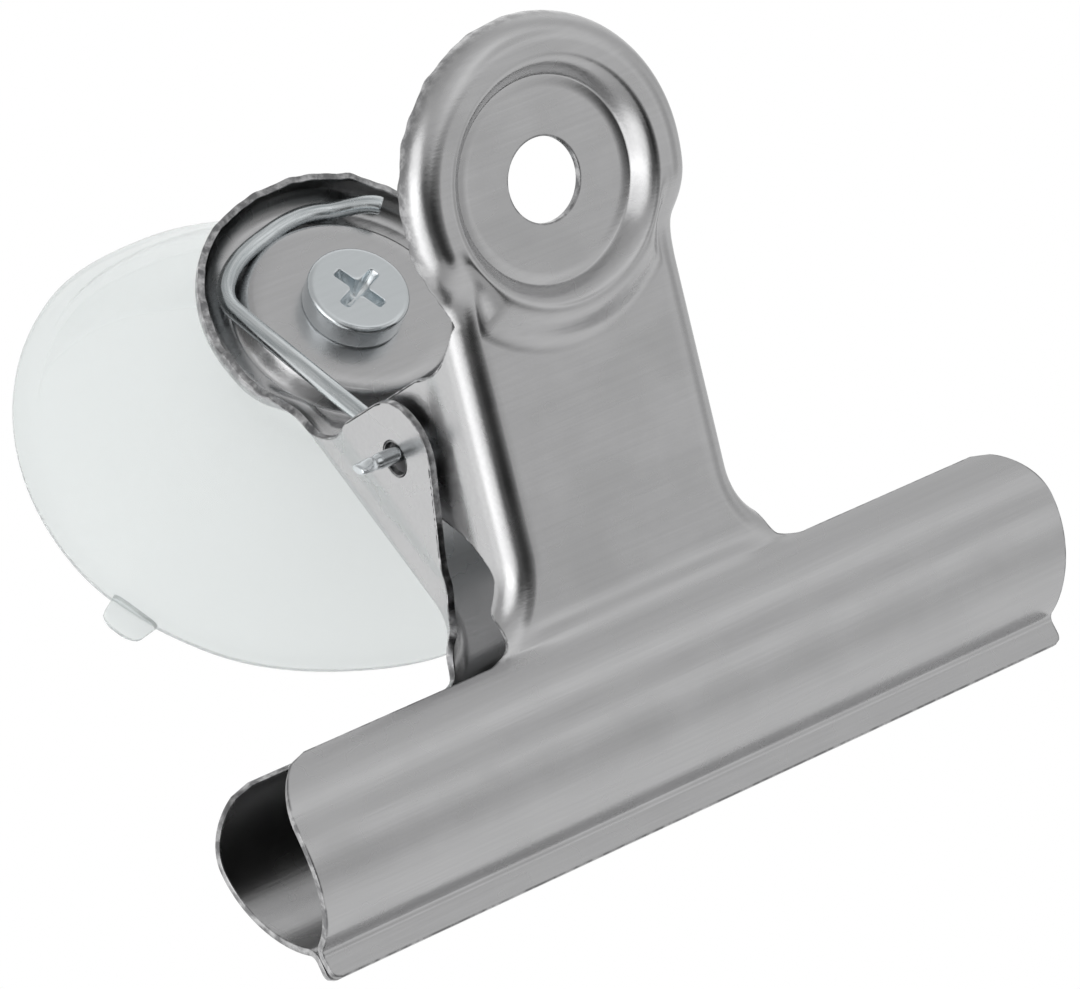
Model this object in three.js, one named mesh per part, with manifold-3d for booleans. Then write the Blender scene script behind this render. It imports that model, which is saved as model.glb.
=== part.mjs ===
// Suction cup clip: a bulldog clip of two stamped steel plates on one hinge pin, closed by a torsion
// spring and held on a wall by a clear vinyl suction cup with one screw.
// Millimetres. +X runs along the jaws, +Y points into the wall and +Z is up. The origin is the
// centre of the suction face.

import * as THREE from "three";
import { mergeGeometries, mergeVertices } from "three/addons/utils/BufferGeometryUtils.js";
import Module from "manifold-3d";

const wasm = await Module();
wasm.setup();

const DEG = Math.PI / 180;

// Sheet steel plates
const sheet = 0.6;
const halfAngle = 21.4 * DEG;
const pinDepth = 10.94;
const pinDrop = 18.66;

// Thumb tab with its raised ring and rim flange
const tabRadius = 12.73;
const crestInset = 3.13;
const slopeWidth = 1.8;
const crestHeight = 1.71;
const bendRadius = 2.2;
const rimDrop = 0.85;
const hangHoleRadius = 3.3;
const flatMargin = 0.3;

// Neck, its side flanges and the ears on the pin
const neckHalf = 11;
const filletRadius = 5;
const flangeFoot = 5.3;
const heelOut = 1.1;
const heelRise = 1.7;
const heelBow = 1;
const earRadius = 4.2;
const earTopDrop = 5.7;
const earTopInset = 3.14;
const earTopBow = 2;
const earTopLift = 0.5;
const earSplay = 0.75;
const earJoggle = -0.4;
const earJoggleStart = 3.4;
const earJoggleEnd = 6.8;
const earFlangeStart = -34 * DEG;
const rimBlendStart = -12 * DEG;
const rimEdgeShare = 0.66;
const rimTrimShare = 0.09;
const outlineSoftness = 0.5;
const trimMargin = 1;
const trimSpare = 0.3;

// Jaw trough and lips
const jawLength = 74.2;
const jawCorner = 4.3;
const endTaper = 0.9;
const troughRadius = 8.94;
const troughInset = 2.04;
const troughBelowPin = 23.6;
const wingStart = 59.4 * DEG;
const shoulderRadius = 4;
const kneeRadius = 0.72;
const lipLength = 1.7;
const lipFlare = 5.3 * DEG;
const lipCorner = 0.7;
const lipClearance = 0.05;

// Hinge pin, loose in punched holes
const pinRadius = 0.65;
const pinPlay = 0.7;
const pinBearing = 0.05;
const pinProud = 3.8;
const pinFlatLength = 1.7;
const pinFlatEnd = 0.4;
const pinFlatWiden = 1.22;
const pinFlatThin = 0.62;
const pinFlatTurn = 35 * DEG;

// Torsion spring of one round wire
const wireRadius = 0.75;
const coilRadius = 2.2;
const fullTurns = 8;
const hoopPlay = 1.1;
const hoopSpread = 0.25;
const hoopStart = 41 * DEG;
const hoopSettle = 78 * DEG;
const hoopEnd = 142 * DEG;
const elbowLength = 1;
const grooveClearance = 0.1;

// Suction cup of soft clear vinyl
const cupRadius = 22.9;
const cupHeight = 19;
const rimBand = 1.1;
const rimDraft = 0.15;
const rimWidth = 1.9;
const hollowDepth = 8.4;
const hollowFlat = 9.4;
const hollowInset = 3.6;
const hollowRise = 3.9;
const postLedge = 1.2;
const postChamfer = 0.5;
const domeTop = 12.2;
const postFillet = 1.8;
const filletDrop = 0.35;
const domeReach = 6.4;
const domeDrop = 1.9;
const bellInset = 3.4;
const bellRise = 4.4;
const pullAngle = 201 * DEG;
const pullWidth = 4.4;
const pullTipWidth = 3.5;
const pullReach = 2.5;
const pullThick = 1.1;
const pullCorner = 0.9;

// Pan head screw
const headRadius = 4;
const headHeight = 2.4;
const headEdge = 0.45;
const shankRadius = 2;
const shankLength = 10;
const tipLength = 2.2;
const tipRadius = 0.5;
const pilotClearance = 0.02;
const pilotSpare = 0.4;
const swivelClearance = 0.1;
const seatClearance = 0.02;
const recessSpan = 4.7;
const recessWidth = 0.95;
const recessDepth = 1.5;
const recessMouth = 0.9;
const recessFloor = 0.5;
const recessTurn = -22 * DEG;

// Radii that follow from the tab
const crestRadius = tabRadius - crestInset;
const plateauRadius = crestRadius - slopeWidth;
const postRadius = plateauRadius - postLedge;
const flatRadius = tabRadius + flatMargin;
const hoopRadius = tabRadius - sheet - wireRadius - hoopPlay;

// Facet counts
const ROUND = 40;
const SCREW_SIDES = 32;
const ROD_SIDES = 24;
const PIN_RINGS = 16;
const TAB_STEPS = 26;
const WEB_STEPS = 8;
const SLOPE_STEPS = 4;
const OUTER_STEPS = 3;
const BEND_STEPS = 4;
const FLANGE_SHARES = [0.1, 0.36, 1];
const NECK_STEPS = 3;
const FILLET_STEPS = 7;
const TROUGH_STEPS = 13;
const KNEE_STEPS = 4;
const WING_SHARES = [0.3, 0.6, 0.85, 1];
const WIRE_SIDES = 5;
const TURN_STEPS = 8;
const HOOP_STEPS = 14;

const lerp = THREE.MathUtils.lerp;
const smooth = THREE.MathUtils.smoothstep;
const vec = (x, y, z) => new THREE.Vector3(x, y, z);

// Solids: booleans on closed meshes

function solid(geometry) {
  const bare = geometry.clone();
  bare.deleteAttribute("normal");
  bare.deleteAttribute("uv");
  const merged = mergeVertices(bare, 1e-5);
  const triVerts = new Uint32Array(merged.index.array);
  const vertProperties = new Float32Array(merged.attributes.position.array);
  return new wasm.Manifold(new wasm.Mesh({ numProp: 3, vertProperties, triVerts }));
}

function toGeometry(body) {
  const mesh = body.getMesh();
  const geometry = new THREE.BufferGeometry();
  geometry.setAttribute("position", new THREE.BufferAttribute(mesh.vertProperties, 3));
  geometry.setIndex(new THREE.BufferAttribute(mesh.triVerts, 1));
  geometry.computeVertexNormals();
  return geometry;
}

// Grid: quads between rows of points that have the same count
function grid(rows) {
  const width = rows[0].length;
  const geometry = new THREE.BufferGeometry();
  geometry.setFromPoints(rows.flat());
  const index = [];
  for (let i = 0; i + 1 < rows.length; i += 1) {
    for (let j = 0; j + 1 < width; j += 1) {
      const a = i * width + j;
      const b = a + width;
      index.push(a, b, a + 1, b, b + 1, a + 1);
    }
  }
  geometry.setIndex(index);
  return geometry;
}

// Thicken: joins surface patches and gives them one wall thickness behind their outer face
function thicken(patches, thickness) {
  const skin = mergeVertices(mergeGeometries(patches), 1e-4);
  skin.computeVertexNormals();
  const outer = skin.attributes.position;
  const normal = skin.attributes.normal;
  const count = outer.count;
  const points = [];
  for (let i = 0; i < count; i += 1) {
    points.push(vec().fromBufferAttribute(outer, i));
  }
  for (let i = 0; i < count; i += 1) {
    const out = vec().fromBufferAttribute(normal, i);
    points.push(points[i].clone().addScaledVector(out, -thickness));
  }
  const index = [];
  const open = new Map();
  for (let t = 0; t < skin.index.count; t += 3) {
    const [a, b, c] = [0, 1, 2].map((k) => skin.index.getX(t + k));
    if (a === b || b === c || c === a) {
      continue;
    }
    index.push(a, b, c, count + a, count + c, count + b);
    for (const [p, q] of [[a, b], [b, c], [c, a]]) {
      if (!open.delete(`${q} ${p}`)) {
        open.set(`${p} ${q}`, [p, q]);
      }
    }
  }
  for (const [p, q] of open.values()) {
    index.push(q, p, count + p, q, count + p, count + q);
  }
  const geometry = new THREE.BufferGeometry();
  geometry.setFromPoints(points);
  geometry.setIndex(index);
  return geometry;
}

// Prism: a shape drawn in the Y Z plane, extruded along X and centred on it
function prismX(shape, length, curveSegments) {
  const geometry = new THREE.ExtrudeGeometry(shape, {
    depth: length,
    bevelEnabled: false,
    curveSegments,
  });
  geometry.translate(0, 0, -length / 2);
  geometry.applyMatrix4(new THREE.Matrix4().makeBasis(vec(0, 1, 0), vec(0, 0, 1), vec(1, 0, 0)));
  return geometry;
}

// Rod: a cylinder along X
function rodX(radius, length, rings = 1) {
  return new THREE.CylinderGeometry(radius, radius, length, ROD_SIDES, rings).rotateZ(-Math.PI / 2);
}

// Jaw profile in the plate's own Y Z plane, where Y is 0 on the outer face of the flat neck, and
// Z is 0 at the middle of the tab. The trough is an arc, met under the neck by a shoulder arc and
// below by a knee arc, each tangent to it. Beside the neck the jaw's wings run higher up the arc.
// The lip leaves the mid-plane of the closed clip by its flare.

const pin = new THREE.Vector2(-pinDepth, -pinDrop);
const fromMidPlane = (across, up) => new THREE.Vector2(across, up).rotateAround(
  new THREE.Vector2(), halfAngle).add(pin);
const trough = fromMidPlane(-troughInset, -troughBelowPin);
const shoulder = new THREE.Vector2(
  shoulderRadius,
  trough.y + Math.sqrt((troughRadius + shoulderRadius) ** 2 - (shoulderRadius - trough.x) ** 2));
const kneeAcross = lipClearance + sheet + kneeRadius;
const kneeDrop = Math.sqrt((troughRadius + kneeRadius) ** 2 - (kneeAcross + troughInset) ** 2);
const knee = fromMidPlane(kneeAcross, -troughBelowPin - kneeDrop);

const troughFrom = shoulder.clone().sub(trough).angle();
const troughTo = knee.clone().sub(trough).angle() - 2 * Math.PI;
const kneeFrom = trough.clone().sub(knee).angle();
const kneeTo = Math.PI + lipFlare + halfAngle;
const onArc = (centre, radius, angle) => new THREE.Vector2(
  centre.x + radius * Math.cos(angle), centre.y + radius * Math.sin(angle));

const jawMiddle = onArc(trough, troughRadius, troughFrom);
const wingTop = onArc(trough, troughRadius, wingStart);
const kneeEnd = onArc(knee, kneeRadius, kneeTo);
const lipWay = new THREE.Vector2(Math.sin(lipFlare), -Math.cos(lipFlare)).rotateAround(
  new THREE.Vector2(), halfAngle);
const lipEdge = kneeEnd.clone().addScaledVector(lipWay, lipLength);
const filletStart = wingTop.y + filletRadius;

// Outer face of the trough at a height, level with its deepest line where the height is above it
function onTrough(height) {
  return trough.x + Math.sqrt(Math.max(0, troughRadius ** 2 - (height - trough.y) ** 2));
}

// Knee and lip below the trough
function lipProfile() {
  const points = [];
  for (let i = 1; i <= KNEE_STEPS; i += 1) {
    points.push(onArc(knee, kneeRadius, lerp(kneeFrom, kneeTo, i / KNEE_STEPS)));
  }
  points.push(kneeEnd.clone().addScaledVector(lipWay, lipLength - lipCorner));
  points.push(lipEdge);
  return points;
}

// Half length of the jaw at a height: rounded top corner, slight taper to the lip
function jawHalf(height) {
  const below = wingTop.y - height;
  const down = Math.max(0, jawCorner - below);
  const corner = jawCorner - Math.sqrt(jawCorner ** 2 - down ** 2);
  const taper = endTaper * smooth(below, jawCorner, wingTop.y - lipEdge.y);
  const edge = Math.max(0, -lipCorner * lipWay.y - (height - lipEdge.y));
  return jawLength / 2 - corner - taper - edge;
}

// Height of the flat neck's outer face as it runs into the shoulder arc
function neckLevel(height) {
  const drop = Math.max(0, shoulder.y - height);
  return shoulderRadius - Math.sqrt(shoulderRadius ** 2 - drop ** 2);
}

// Bend and flange that leave a point of the face in a direction, as one run of points
const bendLine = neckHalf - bendRadius;

function flangeRun(start, way, depth, splay) {
  const run = [];
  for (let i = 1; i <= BEND_STEPS; i += 1) {
    const turn = (i / BEND_STEPS) * 90 * DEG;
    const point = start.clone().addScaledVector(way, bendRadius * Math.sin(turn));
    point.y -= bendRadius * (1 - Math.cos(turn));
    run.push(point);
  }
  const foot = run[BEND_STEPS - 1];
  for (const share of FLANGE_SHARES) {
    const point = foot.clone();
    point.y = lerp(foot.y, -depth, share);
    point.x += Math.sign(way.x) * splay * smooth(-point.y, earJoggleStart, earJoggleEnd);
    run.push(point);
  }
  return run;
}

// Flange that opens out until it lies on the trough: a bend arc and a straight run to a tip that
// swings outwards in a quarter turn, while the neck's face goes down the shoulder
function openingRun(turn) {
  const opened = 1 - Math.cos(turn);
  const webZ = lerp(filletStart, jawMiddle.y, Math.sin(turn));
  const tipZ = lerp(filletStart, wingTop.y, Math.sin(turn));
  const level = neckLevel(webZ);
  const across = neckHalf + filletRadius * opened - bendLine;
  const up = lerp(-flangeFoot, wingTop.x, opened) + bendRadius - level;
  const reach = Math.hypot(across, up);
  const bend = Math.max(0, Math.asin(Math.min(1, bendRadius / reach)) - Math.atan2(up, across));
  const arc = bendRadius * bend;
  const straight = Math.sqrt(Math.max(0, reach ** 2 - bendRadius ** 2));
  const laid = smooth(turn, 45 * DEG, 90 * DEG) ** 2;
  const count = BEND_STEPS + FLANGE_SHARES.length;
  const run = [];
  for (let i = 1; i <= count; i += 1) {
    const tight = i <= BEND_STEPS
      ? (arc * i) / BEND_STEPS
      : arc + straight * FLANGE_SHARES[i - BEND_STEPS - 1];
    const along = lerp(tight, ((arc + straight) * i) / count, Math.sin(turn) ** 2);
    const bent = Math.min(along, arc) / bendRadius;
    const past = Math.max(0, along - arc);
    const height = lerp(webZ, tipZ, along / (arc + straight));
    const free = level - bendRadius * (1 - Math.cos(bent)) - past * Math.sin(bend);
    run.push(vec(
      bendLine + bendRadius * Math.sin(bent) + past * Math.cos(bend),
      lerp(free, onTrough(height), laid),
      height));
  }
  return run;
}

const mirrored = (points) => points.map((p) => vec(-p.x, p.y, p.z));

// Tab section at an angle round its middle: hole, plateau, raised ring, then the rim's bend and
// flange. Towards the neck the ring slopes down to the flat face, and the rim becomes the neck's edge.
const neckAngle = -Math.acos(bendLine / flatRadius);
const deepFlange = pinDepth + earRadius + trimMargin;

function ringLevel(radius) {
  return crestHeight * smooth(radius, plateauRadius, crestRadius);
}

function dishPoint(radius, angle, level) {
  return vec(radius * Math.cos(angle), level, radius * Math.sin(angle));
}

function dishRun(holeRadius, angle, outerRadius, outerLevel) {
  const radii = [holeRadius, plateauRadius];
  for (let i = 1; i <= SLOPE_STEPS; i += 1) {
    radii.push(lerp(plateauRadius, crestRadius, i / SLOPE_STEPS));
  }
  const run = radii.map((radius) => dishPoint(radius, angle, ringLevel(radius)));
  for (let i = 1; i <= OUTER_STEPS; i += 1) {
    const share = i / OUTER_STEPS;
    const level = lerp(crestHeight, outerLevel, smooth(share, 0, 1));
    run.push(dishPoint(lerp(crestRadius, outerRadius, share), angle, level));
  }
  return run;
}

// Flange depth at an angle: the rim's, with something to trim below the middle, then the ear's
function flangeDepth(right) {
  if (right < earFlangeStart) {
    return deepFlange;
  }
  return right < rimBlendStart ? rimDrop + trimSpare : rimDrop;
}

function tabSection(holeRadius, angle, splay) {
  const side = Math.cos(angle) < 0 ? -1 : 1;
  const right = side < 0 ? Math.PI - angle : angle;
  const rimStart = tabRadius - bendRadius;
  const toNeck = right < 0 ? bendLine / Math.cos(right) : 0;
  const soft = right < 0 ? outlineSoftness * smooth(-right, 0, -rimBlendStart) : 0;
  const outer = (rimStart + toNeck + Math.hypot(rimStart - toNeck, soft)) / 2;
  const blend = smooth(right, neckAngle, rimBlendStart);
  const radius = right <= neckAngle ? flatRadius : outer;
  const level = crestHeight * blend;
  const wayAngle = right < 0 ? right * blend : right;
  const run = dishRun(holeRadius, right, radius, level);
  const start = run[run.length - 1];
  const way = vec(Math.cos(wayAngle), 0, Math.sin(wayAngle));
  const section = [...run, ...flangeRun(start, way, flangeDepth(right), splay)];
  return side < 0 ? mirrored(section) : section;
}

// Front outline of the ears, drawn as the piece that is cut away between and above them
const cutSpan = 4 * neckHalf;

function earTrim() {
  const wide = deepFlange + sheet + trimMargin;
  const heel = new THREE.Vector2(-flangeFoot - heelOut, filletStart + heelRise);
  const topEnd = new THREE.Vector2(pin.x + earTopInset, pin.y + earTopDrop);
  const tangent = (from, side) => {
    const away = from.clone().sub(pin);
    return away.angle() + side * Math.acos(earRadius / away.length());
  };
  const low = tangent(heel, -1);
  const lowPoint = onArc(pin, earRadius, low);
  const shape = new THREE.Shape();
  shape.moveTo(-flangeFoot, filletStart);
  shape.quadraticCurveTo(-flangeFoot, filletStart + heelBow, heel.x, heel.y);
  shape.lineTo(lowPoint.x, lowPoint.y);
  shape.absarc(pin.x, pin.y, earRadius, low, tangent(topEnd, 1), true);
  shape.lineTo(topEnd.x, topEnd.y);
  shape.quadraticCurveTo(
    -rimDrop - earTopBow, topEnd.y + earTopLift,
    -rimDrop, -tabRadius * rimEdgeShare);
  shape.lineTo(-rimDrop, -tabRadius * rimTrimShare);
  shape.lineTo(-wide, -tabRadius * rimTrimShare);
  shape.lineTo(-wide, filletStart);
  shape.closePath();
  return solid(prismX(shape, cutSpan, 8));
}

// Plate: tab, neck with its flanges, and jaw, as one sheet
function plate(holeRadius, splay) {
  const tabRows = [];
  for (let i = 0; i <= TAB_STEPS; i += 1) {
    const angle = lerp(neckAngle, Math.PI - neckAngle, i / TAB_STEPS);
    tabRows.push(tabSection(holeRadius, angle, splay));
  }
  const lowRows = [];
  const arcRow = [];
  for (let i = 0; i <= WEB_STEPS; i += 1) {
    const angle = lerp(-Math.PI - neckAngle, neckAngle, i / WEB_STEPS);
    lowRows.push(dishRun(holeRadius, angle, flatRadius, 0));
    arcRow.push(dishPoint(flatRadius, angle, 0));
  }

  const row = (right, web) => [...right.toReversed(), ...web.toReversed(), ...mirrored(right)];
  const webRow = (height) => arcRow.map((p, i) => vec(
    lerp(-bendLine, bendLine, i / WEB_STEPS), neckLevel(height), height));
  const neckRow = (web) => row(flangeRun(web[WEB_STEPS], vec(1, 0, 0), deepFlange, splay), web);
  const neckRows = [neckRow(arcRow)];
  for (let i = 1; i <= NECK_STEPS; i += 1) {
    const share = i / (NECK_STEPS + 0.5);
    neckRows.push(neckRow(webRow(lerp(-flatRadius, filletStart, share))));
  }
  for (let i = 0; i <= FILLET_STEPS; i += 1) {
    const turn = (i / FILLET_STEPS) * 90 * DEG;
    const height = lerp(filletStart, jawMiddle.y, Math.sin(turn));
    neckRows.push(row(openingRun(turn), webRow(height)));
  }

  const topRow = neckRows[neckRows.length - 1];
  const wingRow = (half, across, height) => WING_SHARES.map((share) => vec(
    lerp(topRow[0].x, half, share), across, height));
  const jawRows = [];
  for (let i = 0; i <= TROUGH_STEPS; i += 1) {
    const share = (i / TROUGH_STEPS) ** 1.3;
    const inner = topRow.map((p) => {
      const from = Math.asin((p.z - trough.y) / troughRadius);
      const point = onArc(trough, troughRadius, lerp(from, troughTo, share));
      return vec(p.x, point.x, point.y);
    });
    const edge = onArc(trough, troughRadius, lerp(wingStart, troughTo, share));
    const wing = wingRow(jawHalf(edge.y), edge.x, edge.y);
    jawRows.push([...wing.toReversed(), ...inner, ...mirrored(wing)]);
  }
  for (const point of lipProfile()) {
    const inner = topRow.map((p) => vec(p.x, point.x, point.y));
    const wing = wingRow(jawHalf(point.y), point.x, point.y);
    jawRows.push([...wing.toReversed(), ...inner, ...mirrored(wing)]);
  }

  const skin = thicken([grid(tabRows), grid(lowRows), grid(neckRows), grid(jawRows)], sheet);
  const holes = rodX(pinRadius + pinPlay, cutSpan)
    .translate(0, pin.x + pinPlay - pinBearing, pin.y);
  return toGeometry(solid(skin).subtract(earTrim()).subtract(solid(holes)));
}

// Places: the back plate stands upright on the cup's post; the front plate is the same stamping,
// turned half round the pin and leaned forward by the clip's full angle

const plateFace = -cupHeight - seatClearance;
const backPlace = new THREE.Matrix4().makeTranslation(0, plateFace, 0);
const pinPlace = vec(0, plateFace + pin.x, pin.y);
const frontPlace = new THREE.Matrix4().makeTranslation(pinPlace.x, pinPlace.y, pinPlace.z)
  .multiply(new THREE.Matrix4().makeRotationX(2 * halfAngle))
  .multiply(new THREE.Matrix4().makeRotationZ(Math.PI))
  .multiply(new THREE.Matrix4().makeTranslation(0, -pin.x, -pin.y));

// Tube: rings round a run of points, closed at both ends
function tube(points, radius, sides) {
  const ways = points.map((p, i) => {
    const from = points[Math.max(0, i - 1)];
    const to = points[Math.min(points.length - 1, i + 1)];
    return to.clone().sub(from).normalize();
  });
  let across = vec(ways[0].z, ways[0].x, ways[0].y).cross(ways[0]).normalize();
  const rings = points.map((point, i) => {
    across = across.clone().addScaledVector(ways[i], -across.dot(ways[i])).normalize();
    const up = ways[i].clone().cross(across);
    return Array.from({ length: sides }, (_, k) => {
      const turn = (k / sides) * 2 * Math.PI;
      return point.clone()
        .addScaledVector(across, radius * Math.cos(turn))
        .addScaledVector(up, radius * Math.sin(turn));
    });
  });
  const index = [];
  for (let i = 0; i + 1 < rings.length; i += 1) {
    for (let k = 0; k < sides; k += 1) {
      const a = i * sides + k;
      const b = i * sides + ((k + 1) % sides);
      index.push(a, b, a + sides, b, b + sides, a + sides);
    }
  }
  const last = (rings.length - 1) * sides;
  for (let k = 1; k + 1 < sides; k += 1) {
    index.push(0, k + 1, k, last, last + k, last + k + 1);
  }
  const geometry = new THREE.BufferGeometry();
  geometry.setFromPoints(rings.flat());
  geometry.setIndex(index);
  geometry.computeVertexNormals();
  return geometry;
}

// Half of the spring wire: from its cut end, round the tab's groove, over an elbow and down to the coil
const grooveLevel = crestHeight - sheet - grooveClearance - wireRadius;

function springLeg() {
  const points = [];
  for (let i = 0; i <= HOOP_STEPS; i += 1) {
    const angle = lerp(hoopStart, hoopEnd, i / HOOP_STEPS);
    const spread = hoopSpread * (1 - smooth(angle, hoopStart, hoopSettle));
    points.push(dishPoint(hoopRadius + spread, angle, grooveLevel));
  }
  const first = points[0].clone();
  const straight = first.clone().sub(points[1]).normalize();
  points.unshift(first.addScaledVector(straight, 2 * wireRadius));
  const elbowFrom = points[points.length - 1];
  const elbow = elbowFrom.clone().add(
    vec(-Math.sin(hoopEnd), 0, Math.cos(hoopEnd)).multiplyScalar(elbowLength));
  const away = new THREE.Vector2(elbow.y, elbow.z).sub(pin);
  const leave = away.angle() - Math.acos(coilRadius / away.length());
  const touch = onArc(pin, coilRadius, leave);
  const coilStart = vec(elbow.x, touch.x, touch.y);
  const elbowTo = elbow.clone().addScaledVector(coilStart.clone().sub(elbow).normalize(), elbowLength);
  const bend = new THREE.QuadraticBezierCurve3(elbowFrom, elbow, elbowTo);
  points.push(...bend.getPoints(3).slice(1));
  points.push(elbowTo.clone().lerp(coilStart, 0.5));
  return { points, leave, coilX: elbow.x };
}

function springPath() {
  const leg = springLeg();
  const back = leg.points.map((p) => p.clone().applyMatrix4(backPlace));
  const front = leg.points.map((p) => p.clone().applyMatrix4(frontPlace)).reverse();
  const leaveFront = Math.PI - leg.leave + 2 * halfAngle;
  const gap = (leg.leave - leaveFront) % (2 * Math.PI);
  const sweep = (gap < 0 ? gap + 2 * Math.PI : gap) + fullTurns * 2 * Math.PI;
  const steps = Math.round((sweep / (2 * Math.PI)) * TURN_STEPS);
  const coil = [];
  for (let i = 0; i <= steps; i += 1) {
    const turn = leg.leave - (sweep * i) / steps;
    coil.push(vec(
      lerp(leg.coilX, -leg.coilX, i / steps),
      pinPlace.y + coilRadius * Math.cos(turn),
      pinPlace.z + coilRadius * Math.sin(turn)));
  }
  return [...back, ...coil, ...front];
}

// Least gap of the wire to itself, between points more than one turn's step apart along it
function leastGap(points) {
  let least = Infinity;
  for (let i = 0; i < points.length; i += 1) {
    let run = 0;
    for (let j = i + 1; j < points.length; j += 1) {
      run += points[j].distanceTo(points[j - 1]);
      if (run > 4 * coilRadius) {
        least = Math.min(least, points[i].distanceTo(points[j]));
      }
    }
  }
  return least - 2 * wireRadius;
}

const wirePath = springPath();
console.log(`spring wire, least gap to itself: ${leastGap(wirePath).toFixed(2)} mm`);

// Hinge pin: a wire nail, its ends squeezed flat so that it stays in the ears
function hingePin() {
  const length = 2 * (neckHalf + earSplay + pinProud);
  const geometry = rodX(pinRadius, length, PIN_RINGS);
  const flatFrom = length / 2 - pinFlatLength;
  const position = geometry.attributes.position;
  for (let i = 0; i < position.count; i += 1) {
    const squeeze = smooth(Math.abs(position.getX(i)), flatFrom, length / 2 - pinFlatEnd);
    position.setY(i, position.getY(i) * lerp(1, pinFlatThin, squeeze));
    position.setZ(i, position.getZ(i) * lerp(1, pinFlatWiden, squeeze));
  }
  geometry.rotateX(-pinFlatTurn);
  return geometry.translate(pinPlace.x, pinPlace.y, pinPlace.z);
}

// Lathe round Y: profile points are (radius, y)
function latheY(points, segments) {
  return solid(new THREE.LatheGeometry(points, segments));
}

// Suction cup: bell with a thin lip, a post for the clip, a pilot hole and a pull tab
function suctionCup() {
  const pilotRadius = shankRadius + pilotClearance;
  const pilotEnd = plateFace - sheet - seatClearance + shankLength + pilotSpare;
  const outline = new THREE.Path();
  outline.moveTo(pilotRadius, -cupHeight);
  outline.lineTo(postRadius - postChamfer, -cupHeight);
  outline.lineTo(postRadius, -cupHeight + postChamfer);
  outline.lineTo(postRadius, -domeTop - postFillet);
  outline.quadraticCurveTo(postRadius, -domeTop, postRadius + postFillet, -domeTop + filletDrop);
  outline.bezierCurveTo(
    postRadius + domeReach, -domeTop + domeDrop,
    cupRadius - bellInset, -rimBand - bellRise,
    cupRadius, -rimBand);
  outline.lineTo(cupRadius - rimDraft, 0);
  outline.lineTo(cupRadius - rimWidth, 0);
  outline.bezierCurveTo(
    cupRadius - rimWidth - hollowInset, -hollowRise,
    hollowFlat, -hollowDepth,
    0, -hollowDepth);
  const points = outline.getPoints(8);
  const body = latheY([
    ...points,
    new THREE.Vector2(0, pilotEnd),
    new THREE.Vector2(pilotRadius, pilotEnd),
    new THREE.Vector2(pilotRadius, -cupHeight),
  ], ROUND);

  const half = pullWidth / 2;
  const tipHalf = pullTipWidth / 2;
  const tip = cupRadius + pullReach;
  const root = cupRadius - rimWidth / 2;
  const tongue = new THREE.Shape();
  tongue.moveTo(root, -half);
  tongue.lineTo(tip - pullCorner, -tipHalf);
  tongue.quadraticCurveTo(tip, -tipHalf, tip, -tipHalf + pullCorner);
  tongue.lineTo(tip, tipHalf - pullCorner);
  tongue.quadraticCurveTo(tip, tipHalf, tip - pullCorner, tipHalf);
  tongue.lineTo(root, half);
  tongue.closePath();
  const pull = new THREE.ExtrudeGeometry(tongue, {
    depth: pullThick,
    bevelEnabled: false,
    curveSegments: 5,
  });
  pull.rotateZ(pullAngle);
  pull.rotateX(Math.PI / 2);
  return toGeometry(body.add(solid(pull)));
}

// Pan head screw with a cross recess, driven through the back plate into the cup's post
function mountingScrew() {
  const under = plateFace - sheet - seatClearance;
  const top = under - headHeight;
  const end = under + shankLength;
  const profile = new THREE.Path();
  profile.moveTo(0, top);
  profile.lineTo(headRadius - headEdge, top);
  profile.quadraticCurveTo(headRadius, top, headRadius, top + headEdge);
  profile.lineTo(headRadius, under);
  profile.lineTo(shankRadius, under);
  profile.lineTo(shankRadius, end - tipLength);
  profile.lineTo(tipRadius, end);
  profile.lineTo(0, end);
  const body = latheY(profile.getPoints(4), SCREW_SIDES);
  const arm = () => new THREE.BoxGeometry(recessSpan, 2 * recessDepth, recessWidth);
  const centre = new THREE.CylinderGeometry(recessFloor, recessMouth, 2 * recessDepth, ROD_SIDES);
  const cross = [arm(), arm().rotateY(Math.PI / 2), centre]
    .map((cut) => solid(cut.rotateY(recessTurn).translate(0, top, 0)))
    .reduce((all, cut) => all.add(cut));
  return toGeometry(body.subtract(cross));
}

// Materials
const steel = { color: 0xa9acae, roughness: 0.34, metalness: 1 };
const zinc = { color: 0xb4babd, roughness: 0.22, metalness: 1 };
const vinyl = { color: 0xe6ecea, roughness: 0.12, metalness: 0, transparent: true, opacity: 0.55 };

function piece(name, geometry, look) {
  const mesh = new THREE.Mesh(geometry, new THREE.MeshStandardMaterial(look));
  mesh.name = name;
  return mesh;
}

const screwHoleRadius = shankRadius + swivelClearance;
const backPlate = plate(screwHoleRadius, earSplay).applyMatrix4(backPlace);
const frontPlate = plate(hangHoleRadius, earJoggle).applyMatrix4(frontPlace);

const clip = new THREE.Group();
clip.name = "suction_cup_clip";
clip.add(
  piece("suction_cup", suctionCup(), vinyl),
  piece("mounting_screw", mountingScrew(), zinc),
  piece("back_plate", backPlate, steel),
  piece("front_plate", frontPlate, steel),
  piece("hinge_pin", hingePin(), zinc),
  piece("torsion_spring", tube(wirePath, wireRadius, WIRE_SIDES), zinc));

export default clip;
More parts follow.
